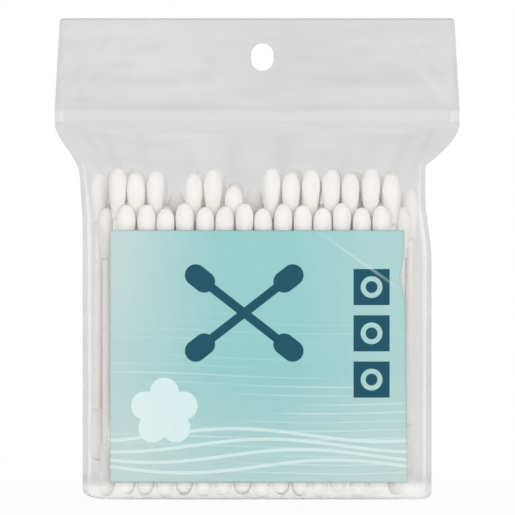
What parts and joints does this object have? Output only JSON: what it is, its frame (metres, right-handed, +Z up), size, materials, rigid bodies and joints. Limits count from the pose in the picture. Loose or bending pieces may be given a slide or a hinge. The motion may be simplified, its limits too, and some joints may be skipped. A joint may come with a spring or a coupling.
{
  "type": "bag of cotton swabs",
  "caption": "Standing clear film bag with a press seal, a header with a hang hole and a printed front, full of cotton swabs on paper stems.",
  "frame": {"origin": "middle of the flat base that the bag stands on", "axes": "+X to the right across the printed front, -Y out of the printed front, +Z up to the header"},
  "size_m": [0.1014, 0.0287, 0.12],
  "materials": {
    "clear_film": "slightly milky clear polyethylene film with soft creases",
    "seal_plastic": "milky extruded polyethylene profile",
    "print_teal": "pale teal ink on the film, paler to both sides",
    "print_dark": "dark teal ink on the film",
    "print_pale": "pale ink on the film",
    "paper_stem": "smooth white rolled paper",
    "cotton": "matte wound cotton with fine loose fibres"
  },
  "bodies": {
    "root": {"bag_film": "clear_film", "seal_bead_strip": "seal_plastic", "seal_groove_strip": "seal_plastic", "print_field": "print_teal", "print_dark_shapes": "print_dark", "print_pale_shapes": "print_pale", "row_1_stems": "paper_stem", "row_2_stems": "paper_stem", "row_3_stems": "paper_stem", "row_4_stems": "paper_stem", "row_5_stems": "paper_stem", "row_6_stems": "paper_stem", "row_7_stems": "paper_stem", "row_1_tips": "cotton", "row_2_tips": "cotton", "row_3_tips": "cotton", "row_4_tips": "cotton", "row_5_tips": "cotton", "row_6_tips": "cotton", "row_7_tips": "cotton"}
  },
  "joints": []
}
